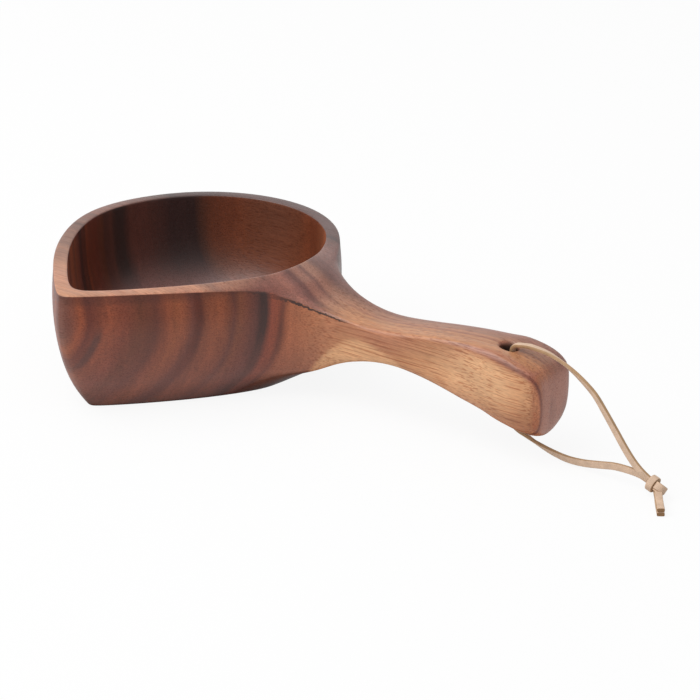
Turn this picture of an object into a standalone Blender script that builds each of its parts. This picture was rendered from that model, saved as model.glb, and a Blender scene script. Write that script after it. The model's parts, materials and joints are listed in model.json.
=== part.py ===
"""Pouring ladle carved from one block of acacia, with a leather hanging thong.

Metres, +Z up. The origin is the middle of the bowl's flat base, on the table. +X runs
along the grip, and the pouring spout points to -Y.
"""

import math

import bmesh
import bpy
from mathutils import Vector

# Bowl
RIM_INNER_RADIUS = 0.055
WALL = 0.0061
HEIGHT = 0.0545
RIM_ROUND = 0.0010
RIM_TOP_INSET = 0.0006
WALL_BULGE = 0.001
BELLY_LEVEL = 0.66
HEEL_INSET = 0.0033
HEEL_LEVEL = 0.24
BASE_INSET = 0.0109
BASE_EDGE_WIDTH = 0.007

# Inside of the bowl
FLOOR_THICKNESS = 0.0065
CAVITY_DRAFT = 0.0015
CAVITY_DRAFT_LEVEL = 0.55
CAVITY_TURN_INSET = 0.0085
CAVITY_TURN_RISE = 0.0075
FLOOR_EDGE_INSET = 0.021
FLOOR_DISH = 0.0008

# Pouring spout
SPOUT_TURN = math.radians(55.5)
SPOUT_WALL_RADIUS = 0.267
SPOUT_TIP_RADIUS = 0.0085
SPOUT_BASE_TIP_RADIUS = 0.0055
SPOUT_INNER_TIP_RADIUS = 0.011
SPOUT_FLOOR_TIP_RADIUS = 0.017

# Shoulder and grip
GRIP_REACH = 0.184
SHOULDER_FILLET = 0.038
SHOULDER_SINK = 0.0025
SHOULDER_SWELL = 0.0045
SHOULDER_DROP = 0.006
SHOULDER_RISE = 0.0015
SHOULDER_UNDERCUT = 0.009
SHOULDER_BELLY_SWELL = 0.0005
SHOULDER_BELLY_LEVEL = 0.52
UNDERCUT_NARROWING = 0.95
RIM_HOLLOW = 0.0044
RIM_HOLLOW_FADE = 0.0016
SHOULDER_LEAD_DROP = 0.0013
NECK_HALF_WIDTH = 0.0106
NECK_DROP = 0.016
NECK_DEPTH = 0.013
GRIP_HALF_WIDTH = 0.0137
GRIP_DROP = 0.0109
GRIP_DEPTH = 0.0296
FLARE_LENGTH = 0.040
FLARE_TO_HOLE = 0.028
SIDE_FULLNESS = 1.03
TOP_CROWN = 0.0008
SHOULDER_CROWN = 0.0026
# The far top edge of the grip is worked down a little where the grip widens
FAR_TOP_DROP = 0.0010
FAR_TOP_TO_HOLE = 0.040
FAR_TOP_EASE = 0.014
HULL_DEPTH = 0.0030
HULL_TUCK = 36.0
HULL_LENGTH = 0.055
HULL_TO_HOLE = 0.036
END_ROUND = 0.0075

# Hanging hole
HOLE_DIAMETER = 0.0066
HOLE_MOUTH_ROUND = 0.0008
HOLE_TO_END = 0.0223

# Leather thong
THONG_WIDTH = 0.003
THONG_THICKNESS = 0.0015
THONG_CORNER = 0.0003
THONG_HOLE_CLEARANCE = 0.0003
THONG_LEAN = math.radians(-3.6)
THONG_STEP = 0.0015
TABLE_CLEARANCE = 0.0002
TAIL_REACH = 0.0729
TAIL_SHIFT = 0.0006
TAIL_HEADING = math.radians(-54.0)

# Knot: a collar round both strands, and a lobe where the strip turns back through it
KNOT_REACH = 0.0722
KNOT_HEIGHT = 0.0046
KNOT_PITCH = math.radians(-27.0)
COLLAR_RADII = (0.0032, 0.0029)
COLLAR_SET_BACK = 0.0008
COLLAR_LEAN = 0.15
LOBE_RADII = (0.0028, 0.0022)
LOBE_SET_OUT = 0.0018
LOBE_LEAN = 0.5
LOBE_TILT = 0.2
KNOT_TURN_POINTS = 16

# The carved surface is a smooth skin over a coarse cage
CARVED_LEVELS = 2
SETTLE_STEPS = 3
SETTLE_SHARE = 0.8
RING_SHRINK = 0.9
RIM_CREASE = 0.45
LIP_CREASE = 0.3
BASE_CREASE = 0.42
SHOULDER_CREASE = 0.8
SHOULDER_FADE_CREASE = 0.45
GRIP_CREASE = 0.2
END_CREASE = 0.15

outer_radius = RIM_INNER_RADIUS + WALL
hole_x = GRIP_REACH - HOLE_TO_END
neck_top = HEIGHT - NECK_DROP
neck_underside = neck_top - NECK_DEPTH
grip_top = HEIGHT - GRIP_DROP
grip_underside = grip_top - GRIP_DEPTH
strip_reach = math.sqrt((HOLE_DIAMETER / 2 - THONG_HOLE_CLEARANCE) ** 2 - (THONG_WIDTH / 2) ** 2)
strip_in_hole = strip_reach - THONG_THICKNESS / 2


def clear_scene():
    for thing in list(bpy.data.objects):
        bpy.data.objects.remove(thing, do_unlink=True)


def make_collection(name):
    collection = bpy.data.collections.new(name)
    bpy.context.scene.collection.children.link(collection)
    return collection


def make_material(name, colour, roughness):
    material = bpy.data.materials.new(name)
    material.use_nodes = True
    shader = material.node_tree.nodes["Principled BSDF"]
    shader.inputs["Base Color"].default_value = (*colour, 1.0)
    shader.inputs["Roughness"].default_value = roughness
    shader.inputs["Metallic"].default_value = 0.0
    return material


def mix(start, end, share):
    return start + (end - start) * share


def ease(share):
    share = min(max(share, 0.0), 1.0)
    return share * share * (3.0 - 2.0 * share)


# Columns of the bowl's cage: under the grip, round the back, along each spout wall, at the tip
GRIP_COLUMNS = (-22.0, -11.0, 0.0, 11.0, 22.0)
BACK_COLUMNS = (44.0, 73.0, 103.0, 133.0, 163.0, 191.0)
SPOUT_COLUMNS = (0.16, 0.62)
TIP_COLUMN = 0.1


def bowl_ring(inset, height, tip_radius):
    """Points round the bowl at one height, from the grip round the back to the spout.

    The outline is a circle drawn out to -Y: two slightly bowed walls leave the circle
    smoothly and meet in a small round tip.
    """
    radius = outer_radius - inset
    wall_radius = SPOUT_WALL_RADIUS + WALL - inset
    reach = radius - wall_radius
    wall_x = reach * math.sin(SPOUT_TURN)
    wall_y = -reach * math.cos(SPOUT_TURN)
    tip_y = wall_y - math.sqrt((wall_radius - tip_radius) ** 2 - wall_x ** 2)
    wall_start = SPOUT_TURN - math.pi / 2
    wall_end = math.atan2(tip_y - wall_y, -wall_x)

    def on_arc(x, y, arc_radius, angle, side=1):
        arc_x = x + arc_radius * math.cos(angle)
        return Vector((side * arc_x, y + arc_radius * math.sin(angle), height))

    def on_wall(share, side):
        return on_arc(wall_x, wall_y, wall_radius, mix(wall_start, wall_end, share), side)

    def on_tip(share, side):
        return on_arc(0.0, tip_y, tip_radius, mix(wall_end, -math.pi / 2, share), side)

    ring = [on_arc(0.0, 0.0, radius, math.radians(angle)) for angle in GRIP_COLUMNS + BACK_COLUMNS]
    ring += [on_wall(share, -1) for share in SPOUT_COLUMNS]
    ring += [on_tip(TIP_COLUMN, -1), on_tip(1.0, 1), on_tip(TIP_COLUMN, 1)]
    ring += [on_wall(share, 1) for share in reversed(SPOUT_COLUMNS)]
    return ring


def grip_half_width(x):
    """Plan of the shoulder and grip: a fillet off the bowl, a parallel neck, a flared end."""
    fillet_y = NECK_HALF_WIDTH + SHOULDER_FILLET
    fillet_x = math.sqrt((outer_radius + SHOULDER_FILLET) ** 2 - fillet_y ** 2)
    if x < fillet_x:
        return fillet_y - math.sqrt(SHOULDER_FILLET ** 2 - (fillet_x - x) ** 2)
    flare = ease((x - hole_x + FLARE_TO_HOLE) / FLARE_LENGTH)
    return mix(NECK_HALF_WIDTH, GRIP_HALF_WIDTH, flare)


# Side profile of the grip from the bowl wall to the hole: place along, then the top and the
# underside, where 0 is the neck's level and 1 the grip's
GRIP_PROFILE = (
    (0.100, 0.84, 1.02),
    (0.208, 0.33, 0.56),
    (0.347, 0.00, 0.17),
    (0.506, 0.14, 0.00),
    (0.685, 0.65, 0.17),
    (0.844, 0.96, 0.46),
)
# The same past the last of these: round the hole and at the rounded end
HOLE_PROFILE = ((-1.9, 1.02, 0.65), (0.0, 0.98, 0.79), (1.9, 0.80, 0.91))
END_PROFILE = ((1.0, 0.30, 0.98, 1.0), (0.18, -0.55, 0.88, 0.89))

ACROSS = (-1.0, -0.5, 0.0, 0.5, 1.0)
CROWN_SHARES = (0.0, 0.8, 1.0, 0.8, 0.0)
# On the shoulder the top falls away to a crisp edge on the spout's side, and stays full on the other
SHOULDER_SHARES = (0.0, 0.3, 0.8, 1.25, 0.65)
# The underside grows from flat at the neck into a rounded hull at the end, rounder on the far side
HULL_SHARES = (0.4, -0.75, -0.95, -0.35, 1.1)


def far_drop(x):
    """How far the far top edge of the grip is worked down, between the neck and the hole."""
    grows = ease((x - hole_x + FAR_TOP_TO_HOLE) / FAR_TOP_EASE)
    fades = ease((x - hole_x) / FAR_TOP_EASE + 0.5)
    return FAR_TOP_DROP * (grows - fades)


def section_loop(x, half_width, top, underside, rises):
    """Twelve points round one section: the top, the far side, the underside, the near side."""
    hull = HULL_DEPTH * ease((x - hole_x + HULL_TO_HOLE) / HULL_LENGTH)
    above = []
    below = []
    for across, crown_share, hull_share, rise in zip(ACROSS, CROWN_SHARES, HULL_SHARES, rises):
        above.append(Vector((x, across * half_width, top + rise)))
        sag = TOP_CROWN * crown_share - hull * hull_share
        tuck = 1.0 - HULL_TUCK * hull * max(hull_share, 0.0)
        below.append(Vector((x, across * half_width * tuck, underside - sag)))
    above[-1].z -= far_drop(x)
    middle = (top + underside) / 2
    far = Vector((x, half_width * SIDE_FULLNESS, middle))
    near = Vector((x, -half_width * SIDE_FULLNESS, middle))
    return above + [far] + below[::-1] + [near]


def grip_sections():
    crowned = [TOP_CROWN * share for share in CROWN_SHARES]
    shouldered = [SHOULDER_CROWN * share for share in SHOULDER_SHARES]
    sections = []
    for index, (along, top_share, underside_share) in enumerate(GRIP_PROFILE):
        x = mix(outer_radius, hole_x, along)
        rises = [mix(first, last, ease(index / 2)) for first, last in zip(shouldered, crowned)]
        sections.append(profile_section(x, top_share, underside_share, rises))
    for along, top_share, underside_share in HOLE_PROFILE:
        x = hole_x + along * HOLE_DIAMETER / 2
        sections.append(profile_section(x, top_share, underside_share, crowned))
    for along, top_share, underside_share, narrowing in END_PROFILE:
        x = GRIP_REACH - along * END_ROUND
        sections.append(profile_section(x, top_share, underside_share, crowned, narrowing))
    return sections


def profile_section(x, top_share, underside_share, rises, narrowing=1.0):
    top = mix(neck_top, grip_top, top_share)
    underside = mix(neck_underside, grip_underside, underside_share)
    return section_loop(x, grip_half_width(x) * narrowing, top, underside, rises)


def bridge(bm, first, second, skip=()):
    """Join two closed loops of points with quads, leaving out the places in skip."""
    count = len(first)
    for i in range(count):
        if i in skip:
            continue
        j = (i + 1) % count
        bm.faces.new((first[i], first[j], second[j], second[i]))


def close_with_point(bm, loop, centre):
    for i, vert in enumerate(loop):
        bm.faces.new((vert, loop[(i + 1) % len(loop)], centre))


def crease(bm, loop, value, closed=True):
    layer = bm.edges.layers.float["crease_edge"]
    pairs = list(zip(loop, loop[1:] + loop[:1])) if closed else list(zip(loop, loop[1:]))
    for first, second in pairs:
        bm.edges.get((first, second))[layer] = value


def carve_cage():
    """The coarse cage of the whole body: bowl, shoulder, grip and hanging hole."""
    bm = bmesh.new()
    bm.edges.layers.float.new("crease_edge")

    def loop(points):
        return [bm.verts.new(point) for point in points]

    ports = range(len(GRIP_COLUMNS))
    port_gaps = ports[:-1]

    # Outside of the bowl, from the rim down to the base
    rim_points = bowl_ring(RIM_TOP_INSET, HEIGHT, SPOUT_TIP_RADIUS)
    edge_points = bowl_ring(0.0, HEIGHT - RIM_ROUND, SPOUT_TIP_RADIUS)
    belly_points = bowl_ring(-WALL_BULGE, HEIGHT * BELLY_LEVEL, SPOUT_TIP_RADIUS)
    heel_points = bowl_ring(HEEL_INSET, HEIGHT * HEEL_LEVEL, SPOUT_TIP_RADIUS)

    # The shoulder swells out of the bowl wall where the grip joins it, and above it the rim is
    # hollowed away, so that its top runs on into the grip
    shoulder_x = outer_radius - SHOULDER_SINK
    shoulder_half = grip_half_width(shoulder_x)
    for i in ports:
        middle = CROWN_SHARES[i]
        out = mix(shoulder_x, outer_radius + SHOULDER_SWELL, middle)
        side_y = ACROSS[i] * shoulder_half
        rise = SHOULDER_SHARES[i]
        edge_points[i] = Vector((out, side_y, HEIGHT - SHOULDER_DROP + SHOULDER_RISE * rise))
        heel_points[i] = Vector((out - SHOULDER_SINK, side_y * UNDERCUT_NARROWING, SHOULDER_UNDERCUT))
        rim_points[i].z -= RIM_HOLLOW * (1.0 - rise / 2)
    for i, side in ((ports[0], -1), (ports[-1], 1)):
        belly_x = shoulder_x + SHOULDER_BELLY_SWELL
        belly_points[i] = Vector((belly_x, side * shoulder_half, HEIGHT * SHOULDER_BELLY_LEVEL))

    rim_points[ports[0] - 1].z -= RIM_HOLLOW_FADE
    edge_points[ports[0] - 1].z -= SHOULDER_LEAD_DROP

    rim_outer = loop(rim_points)
    edge = loop(edge_points)
    belly = [None if i in ports[1:-1] else bm.verts.new(p) for i, p in enumerate(belly_points)]
    heel = loop(heel_points)
    base = loop(bowl_ring(BASE_INSET, 0.0, SPOUT_BASE_TIP_RADIUS))
    base_inner = loop(bowl_ring(BASE_INSET + BASE_EDGE_WIDTH, 0.0, SPOUT_BASE_TIP_RADIUS))
    bridge(bm, rim_outer, edge)
    bridge(bm, edge, belly, port_gaps)
    bridge(bm, belly, heel, port_gaps)
    bridge(bm, heel, base)
    bridge(bm, base, base_inner)
    base_centre = bm.verts.new((0.0, 0.0, 0.0))
    close_with_point(bm, base_inner, base_centre)

    # Inside of the bowl, from the rim down to the floor
    rim_inner = loop(bowl_ring(WALL - RIM_TOP_INSET, HEIGHT, SPOUT_INNER_TIP_RADIUS))
    lip = loop(bowl_ring(WALL, HEIGHT - RIM_ROUND, SPOUT_INNER_TIP_RADIUS))
    draft = loop(bowl_ring(WALL + CAVITY_DRAFT, HEIGHT * CAVITY_DRAFT_LEVEL, SPOUT_INNER_TIP_RADIUS))
    turn = loop(bowl_ring(
        WALL + CAVITY_TURN_INSET, FLOOR_THICKNESS + CAVITY_TURN_RISE, SPOUT_FLOOR_TIP_RADIUS))
    floor = loop(bowl_ring(
        WALL + FLOOR_EDGE_INSET, FLOOR_THICKNESS + FLOOR_DISH, SPOUT_FLOOR_TIP_RADIUS))
    bridge(bm, rim_outer, rim_inner)
    bridge(bm, rim_inner, lip)
    bridge(bm, lip, draft)
    bridge(bm, draft, turn)
    bridge(bm, turn, floor)
    close_with_point(bm, floor, bm.verts.new((0.0, 0.0, FLOOR_THICKNESS)))

    # Shoulder, neck and grip, lofted section by section out of the bowl wall
    first, last = ports[0], ports[-1]
    port = edge[first:last + 1] + [belly[last]] + heel[first:last + 1][::-1] + [belly[first]]
    sections = [port]
    hole_row = len(GRIP_PROFILE) + 2
    for row, points in enumerate(grip_sections(), start=1):
        if row == hole_row:
            # The middle of the hole's row is air, on the top and on the underside
            verts = [None if i in (2, 8) else bm.verts.new(p) for i, p in enumerate(points)]
        else:
            verts = loop(points)
        sections.append(verts)
    mouth_gaps = (1, 2, 7, 8)
    for row, (here, after) in enumerate(zip(sections, sections[1:])):
        around_hole = row in (hole_row - 1, hole_row)
        bridge(bm, here, after, mouth_gaps if around_hole else ())

    # Hanging hole: two rounded mouths and the bore between them
    before, level, after = sections[hole_row - 1:hole_row + 2]
    top_mouth = before[1:4] + [level[3]] + after[3:0:-1] + [level[1]]
    low_mouth = before[9:6:-1] + [level[7]] + after[7:10] + [level[9]]
    bore_radius = HOLE_DIAMETER / 2 / RING_SHRINK
    throats = []
    for mouth, depth in ((top_mouth, -HOLE_MOUTH_ROUND), (low_mouth, HOLE_MOUTH_ROUND)):
        throat = []
        for i, vert in enumerate(mouth):
            angle = math.radians(225.0 - 45.0 * i)
            way = Vector((math.cos(angle), math.sin(angle), 0.0))
            centre = Vector((hole_x, 0.0, vert.co.z))
            vert.co = centre + way * (bore_radius + HOLE_MOUTH_ROUND)
            throat.append(bm.verts.new(centre + way * bore_radius + Vector((0.0, 0.0, 2 * depth))))
        throats.append(throat)
        bridge(bm, mouth, throat)
    bridge(bm, *throats)

    # Rounded end of the grip
    end = sections[-1]
    middle_row = [end[11]]
    for i in (1, 2, 3):
        middle = mix(end[i].co, end[10 - i].co, 0.5)
        middle_row.append(bm.verts.new((GRIP_REACH, middle.y, middle.z)))
    middle_row.append(end[5])
    under_row = end[10:5:-1]
    for i in range(4):
        bm.faces.new((end[i], end[i + 1], middle_row[i + 1], middle_row[i]))
        bm.faces.new((middle_row[i], middle_row[i + 1], under_row[i + 1], under_row[i]))

    # Edges that the carver leaves crisp
    near_top_line = [edge[-1]] + [section[0] for section in sections]
    far_top_line = [section[4] for section in sections]
    crease(bm, edge[last:], RIM_CREASE, closed=False)
    crease(bm, rim_inner, LIP_CREASE)
    crease(bm, base, BASE_CREASE)
    crease(bm, near_top_line[:3], SHOULDER_CREASE, closed=False)
    crease(bm, near_top_line[2:5], SHOULDER_FADE_CREASE, closed=False)
    crease(bm, near_top_line[4:], GRIP_CREASE, closed=False)
    crease(bm, far_top_line, GRIP_CREASE, closed=False)
    crease(bm, end, END_CREASE)

    bmesh.ops.recalc_face_normals(bm, faces=bm.faces)
    bm.verts.index_update()
    bowl = rim_outer + edge + heel + base + base_inner + rim_inner + lip + draft + turn + floor
    level = {vert.index for vert in bowl}
    hole = {vert.index for vert in top_mouth + low_mouth + throats[0] + throats[1]}
    return bm, level, hole


def settle_cage(body, level, hole):
    """Push the cage out until the smooth skin passes through the designed points.

    The bowl's rings move sideways only, so that its rim and base stay level, and the hole's
    rings stay where they are.
    """
    cage = body.data
    designed = [vert.co.copy() for vert in cage.vertices]
    for _ in range(SETTLE_STEPS):
        depsgraph = bpy.context.evaluated_depsgraph_get()
        skin = body.evaluated_get(depsgraph).data
        reached = [skin.vertices[i].co.copy() for i in range(len(designed))]
        for vert, wanted, got in zip(cage.vertices, designed, reached):
            if vert.index in hole:
                continue
            move = (wanted - got) * SETTLE_SHARE
            if vert.index in level:
                move.z = 0.0
            vert.co += move
        cage.update()
        body.update_tag()
        bpy.context.view_layer.update()


def make_body(collection, material):
    mesh = bpy.data.meshes.new("ladle_body")
    bm, level, hole = carve_cage()
    bm.to_mesh(mesh)
    bm.free()
    mesh.materials.append(material)
    mesh.shade_smooth()
    body = bpy.data.objects.new("ladle_body", mesh)
    collection.objects.link(body)
    skin = body.modifiers.new("carved_skin", "SUBSURF")
    skin.levels = CARVED_LEVELS
    skin.render_levels = CARVED_LEVELS
    bpy.context.view_layer.update()
    settle_cage(body, level, hole)
    return body


# Thong route from the hole: reach from where the strip stands in the hole, height as a share of
# the way from the knot up to the grip's end, sideways shift, and the turn of the flat strip,
# where 0 lays it across the loop and 90 turns it edge up
UPPER_ROUTE = (
    (0.0000, 0.65, 0.0000, 0.0),
    (0.0000, 0.91, 0.0000, 0.0),
    (0.0000, 0.98, 0.0000, 0.0),
    (0.0005, 1.02, 0.0000, 0.0),
    (0.0018, 1.040, 0.0000, 1.0),
    (0.0038, 1.047, 0.0000, 2.0),
    (0.0082, 1.064, 0.0000, 4.0),
    (0.0132, 1.062, 0.0000, 10.0),
    (0.0182, 1.042, 0.0000, 20.0),
    (0.0232, 1.005, 0.0000, 32.0),
    (0.0282, 0.955, 0.0000, 45.0),
    (0.0342, 0.87, 0.0000, 58.0),
    (0.0405, 0.75, 0.0000, 70.0),
    (0.0459, 0.59, 0.0000, 78.0),
    (0.0512, 0.43, -0.0002, 84.0),
    (0.0559, 0.29, -0.0004, 88.0),
    (0.0605, 0.16, -0.0006, 90.0),
    (0.0647, 0.07, -0.0008, 90.0),
    (0.0697, 0.01, -0.0008, 90.0),
)
# The same for the lower strand, where the height is a share of the way up to the grip's underside
LOWER_ROUTE = (
    (0.0000, 1.64, 0.0000, 0.0),
    (0.0000, 0.95, 0.0000, 0.0),
    (0.0012, 0.62, 0.0000, -4.0),
    (0.0042, 0.38, 0.0000, -12.0),
    (0.0082, 0.23, 0.0000, -24.0),
    (0.0132, 0.06, 0.0000, -40.0),
    (0.0209, -0.12, 0.0000, -62.0),
    (0.0285, -0.21, 0.0002, -78.0),
    (0.0360, -0.16, 0.0004, -86.0),
    (0.0434, -0.01, 0.0006, -90.0),
    (0.0506, 0.15, 0.0008, -90.0),
    (0.0578, 0.30, 0.0008, -90.0),
    (0.0632, 0.32, 0.0008, -90.0),
    (0.0672, 0.18, 0.0008, -90.0),
    (0.0697, 0.02, 0.0008, -90.0),
)
# Tails on the table from the knot: along the tail, rise above the table
TAIL_ROUTE = ((0.0, 0.0021), (0.004, 0.0010), (0.009, 0.0002), (0.014, 0.0), (0.019, 0.0))
UPPER_TAIL_SHARE = 0.97


def smooth_route(points, step):
    """Points at an even step along a smooth curve through the given points."""
    ends = [points[0] * 2 - points[1]] + list(points) + [points[-1] * 2 - points[-2]]
    fine = []
    for before, here, after, beyond in zip(ends, ends[1:], ends[2:], ends[3:]):
        for i in range(20):
            t = i / 20
            fine.append(0.5 * (
                2 * here + (after - before) * t
                + (2 * before - 5 * here + 4 * after - beyond) * t ** 2
                + (3 * here - before - 3 * after + beyond) * t ** 3))
    fine.append(points[-1])
    lengths = [0.0]
    for here, after in zip(fine, fine[1:]):
        lengths.append(lengths[-1] + (after.xyz - here.xyz).length)
    count = max(2, round(lengths[-1] / step))
    route = []
    j = 0
    for i in range(count + 1):
        target = lengths[-1] * i / count
        while j < len(lengths) - 2 and lengths[j + 1] < target:
            j += 1
        share = (target - lengths[j]) / (lengths[j + 1] - lengths[j])
        route.append(mix(fine[j], fine[j + 1], share))
    return route


def strip_corners():
    half_width = THONG_WIDTH / 2
    half_thick = THONG_THICKNESS / 2
    corners = []
    for across, up in ((1, 1), (-1, 1), (-1, -1), (1, -1)):
        flat = (across * (half_width - THONG_CORNER), up * half_thick)
        side = (across * half_width, up * (half_thick - THONG_CORNER))
        corners += [side, flat] if across == up else [flat, side]
    return corners


def sweep_strip(name, centres, sides, closed=False):
    """Sweep the strip's section along a route; sides point across the strip's width."""
    bm = bmesh.new()
    count = len(centres)
    loops = []
    for i, (centre, side) in enumerate(zip(centres, sides)):
        if closed:
            ahead = centres[(i + 1) % count] - centres[i - 1]
        else:
            ahead = centres[min(i + 1, count - 1)] - centres[max(i - 1, 0)]
        side = (side - ahead * (side.dot(ahead) / ahead.length_squared)).normalized()
        up = ahead.cross(side).normalized()
        loops.append([bm.verts.new(centre + side * a + up * b) for a, b in strip_corners()])
    for here, after in zip(loops, loops[1:]):
        bridge(bm, here, after)
    if closed:
        bridge(bm, loops[-1], loops[0])
    else:
        bm.faces.new(loops[0])
        bm.faces.new(loops[-1])
    bmesh.ops.recalc_face_normals(bm, faces=bm.faces)
    mesh = bpy.data.meshes.new(name)
    bm.to_mesh(mesh)
    bm.free()
    return bpy.data.objects.new(name, mesh)


away = Vector((math.cos(THONG_LEAN), math.sin(THONG_LEAN), 0.0))
sideways = Vector((-math.sin(THONG_LEAN), math.cos(THONG_LEAN), 0.0))
upward = Vector((0.0, 0.0, 1.0))


def in_loop_plane(reach, height, shift=0.0):
    """A point of the thong, measured from the foot of the hole's axis."""
    return away * reach + upward * height + sideways * shift


def route_length(centres):
    return sum((after - here).length for here, after in zip(centres, centres[1:]))


def make_loop_strip():
    """The strip from the knot, up over the grip's end, down the hole and back to the knot."""
    rows = []
    for route, level in ((UPPER_ROUTE[::-1], grip_top), (LOWER_ROUTE, grip_underside)):
        for reach, share, shift, turn in route:
            rows.append(Vector((strip_in_hole + reach, mix(KNOT_HEIGHT, level, share), shift, turn)))
    smooth_rows = smooth_route(rows, THONG_STEP)
    centres = [in_loop_plane(row[0], row[1], row[2]) for row in smooth_rows]
    sides = []
    for i, row in enumerate(smooth_rows):
        ahead = centres[min(i + 1, len(centres) - 1)] - centres[max(i - 1, 0)]
        level = ahead.cross(sideways).normalized()
        turn = math.radians(row[3])
        sides.append(sideways * math.cos(turn) + level * math.sin(turn))
    return sweep_strip("leather_thong", centres, sides), route_length(centres)


def make_tail(name, lift, reach_share):
    start = in_loop_plane(TAIL_REACH, TABLE_CLEARANCE + THONG_THICKNESS / 2 + lift, TAIL_SHIFT)
    heading = Vector((math.cos(TAIL_HEADING), math.sin(TAIL_HEADING), 0.0))
    rows = [start + heading * (along * reach_share) + upward * rise for along, rise in TAIL_ROUTE]
    centres = smooth_route(rows, THONG_STEP)
    across = heading.cross(upward)
    return sweep_strip(name, centres, [across] * len(centres)), route_length(centres)


def make_knot_turn(name, centre, axis, long_way, radii):
    """One turn of the strip round the knot, seen along its axis as an oval."""
    axis = axis.normalized()
    first = (long_way - axis * long_way.dot(axis)).normalized()
    second = axis.cross(first)
    centres = []
    for i in range(KNOT_TURN_POINTS):
        angle = 2 * math.pi * i / KNOT_TURN_POINTS
        out = first * (radii[0] * math.cos(angle)) + second * (radii[1] * math.sin(angle))
        centres.append(centre + out)
    turn = sweep_strip(name, centres, [axis] * KNOT_TURN_POINTS, closed=True)
    return turn, route_length(centres + centres[:1])


def join_solid(target, other):
    union = target.modifiers.new("tied_to_" + other.name, "BOOLEAN")
    union.operation = "UNION"
    union.solver = "EXACT"
    union.object = other


def make_thong(collection, helpers, material):
    thong, loop_length = make_loop_strip()
    thong.data.materials.append(material)
    thong.location = (hole_x, 0.0, 0.0)
    collection.objects.link(thong)
    entry = away * math.cos(KNOT_PITCH) + upward * math.sin(KNOT_PITCH)
    standing = upward * math.cos(KNOT_PITCH) - away * math.sin(KNOT_PITCH)
    knot = in_loop_plane(KNOT_REACH, KNOT_HEIGHT)
    collar = make_knot_turn(
        "knot_collar", knot - entry * COLLAR_SET_BACK, entry + standing * COLLAR_LEAN, standing,
        COLLAR_RADII)
    lobe_axis = standing + entry * LOBE_LEAN + sideways * LOBE_TILT
    lobe = make_knot_turn("knot_lobe", knot + entry * LOBE_SET_OUT, lobe_axis, entry, LOBE_RADII)
    lower_tail = make_tail("lower_tail", 0.0, 1.0)
    upper_tail = make_tail("upper_tail", THONG_THICKNESS + TABLE_CLEARANCE, UPPER_TAIL_SHARE)
    strip_length = loop_length
    for piece, length in (collar, lobe, lower_tail, upper_tail):
        piece.location = thong.location
        piece.hide_render = True
        piece.display_type = "WIRE"
        helpers.objects.link(piece)
        join_solid(thong, piece)
        strip_length += length
    print(f"thong: loop {loop_length * 1000:.0f} mm, strip cut to about {strip_length * 1000:.0f} mm")
    return thong


clear_scene()
ladle = make_collection("pouring_ladle")
helpers = make_collection("knot_turns")
acacia = make_material("oiled_acacia", (0.19, 0.075, 0.035), 0.45)
leather = make_material("natural_leather", (0.62, 0.4, 0.24), 0.7)
body = make_body(ladle, acacia)
thong = make_thong(ladle, helpers, leather)
bpy.context.view_layer.update()
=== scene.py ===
# %% [markdown]
# # A carved acacia gravy ladle with a leather thong
#
# This lesson dresses a finished CAD model. The ladle is one block of acacia, turned and
# carved into a round bowl with a pouring spout, and its flared grip has a hole for a flat
# leather lace.

import json
import math

import bmesh
import bpy
from mathutils import Matrix, Vector

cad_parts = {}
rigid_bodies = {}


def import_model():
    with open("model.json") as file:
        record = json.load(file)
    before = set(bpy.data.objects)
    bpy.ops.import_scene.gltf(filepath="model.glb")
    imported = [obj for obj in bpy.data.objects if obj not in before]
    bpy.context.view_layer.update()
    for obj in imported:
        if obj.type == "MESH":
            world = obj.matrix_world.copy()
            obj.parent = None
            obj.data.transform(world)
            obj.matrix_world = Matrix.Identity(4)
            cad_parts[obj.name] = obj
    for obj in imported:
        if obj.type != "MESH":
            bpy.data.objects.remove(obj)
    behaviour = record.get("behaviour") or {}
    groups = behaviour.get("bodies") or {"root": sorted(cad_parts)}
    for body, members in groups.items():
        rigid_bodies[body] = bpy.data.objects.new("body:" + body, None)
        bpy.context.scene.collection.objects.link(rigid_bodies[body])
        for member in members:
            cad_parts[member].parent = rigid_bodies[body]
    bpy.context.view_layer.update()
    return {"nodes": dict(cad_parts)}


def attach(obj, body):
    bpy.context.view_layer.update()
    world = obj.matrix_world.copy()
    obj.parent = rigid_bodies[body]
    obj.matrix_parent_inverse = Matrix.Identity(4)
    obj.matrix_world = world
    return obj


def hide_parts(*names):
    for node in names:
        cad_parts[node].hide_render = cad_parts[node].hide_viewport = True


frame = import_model()
MM = 0.001

# %% [markdown]
# ## The camera
#
# A product photograph like this one is taken with a long lens from a little above the table.
# The camera's place was worked out from the round rim, the straight grip and the flat table.
# Its matrix is built from two angles: how far it stands round the ladle, and how far above.

# %% Camera
IMAGE_SIZE = 700
FOCAL_PIXELS = 2400
SENSOR_MM = 36
CAMERA_ROUND = math.radians(37.035)
CAMERA_ABOVE = math.radians(22.780)
CAMERA_PLACE = Vector((0.645063, -0.746427, 0.414065))

camera_data = bpy.data.cameras.new("photo_camera")
camera_data.sensor_width = SENSOR_MM
camera_data.lens = FOCAL_PIXELS / IMAGE_SIZE * SENSOR_MM
camera = bpy.data.objects.new("photo_camera", camera_data)
level = math.cos(CAMERA_ABOVE)
towards_camera = Vector((
    math.sin(CAMERA_ROUND) * level, -math.cos(CAMERA_ROUND) * level, math.sin(CAMERA_ABOVE)))
to_the_right = Vector((math.cos(CAMERA_ROUND), math.sin(CAMERA_ROUND), 0))
turn = Matrix((to_the_right, towards_camera.cross(to_the_right), towards_camera)).transposed()
camera.matrix_world = Matrix.Translation(CAMERA_PLACE) @ turn.to_4x4()
bpy.context.scene.collection.objects.link(camera)
bpy.context.scene.camera = camera
print(f"camera: {camera_data.lens:.1f} mm lens, {CAMERA_PLACE.length:.2f} m from the bowl")

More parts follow.
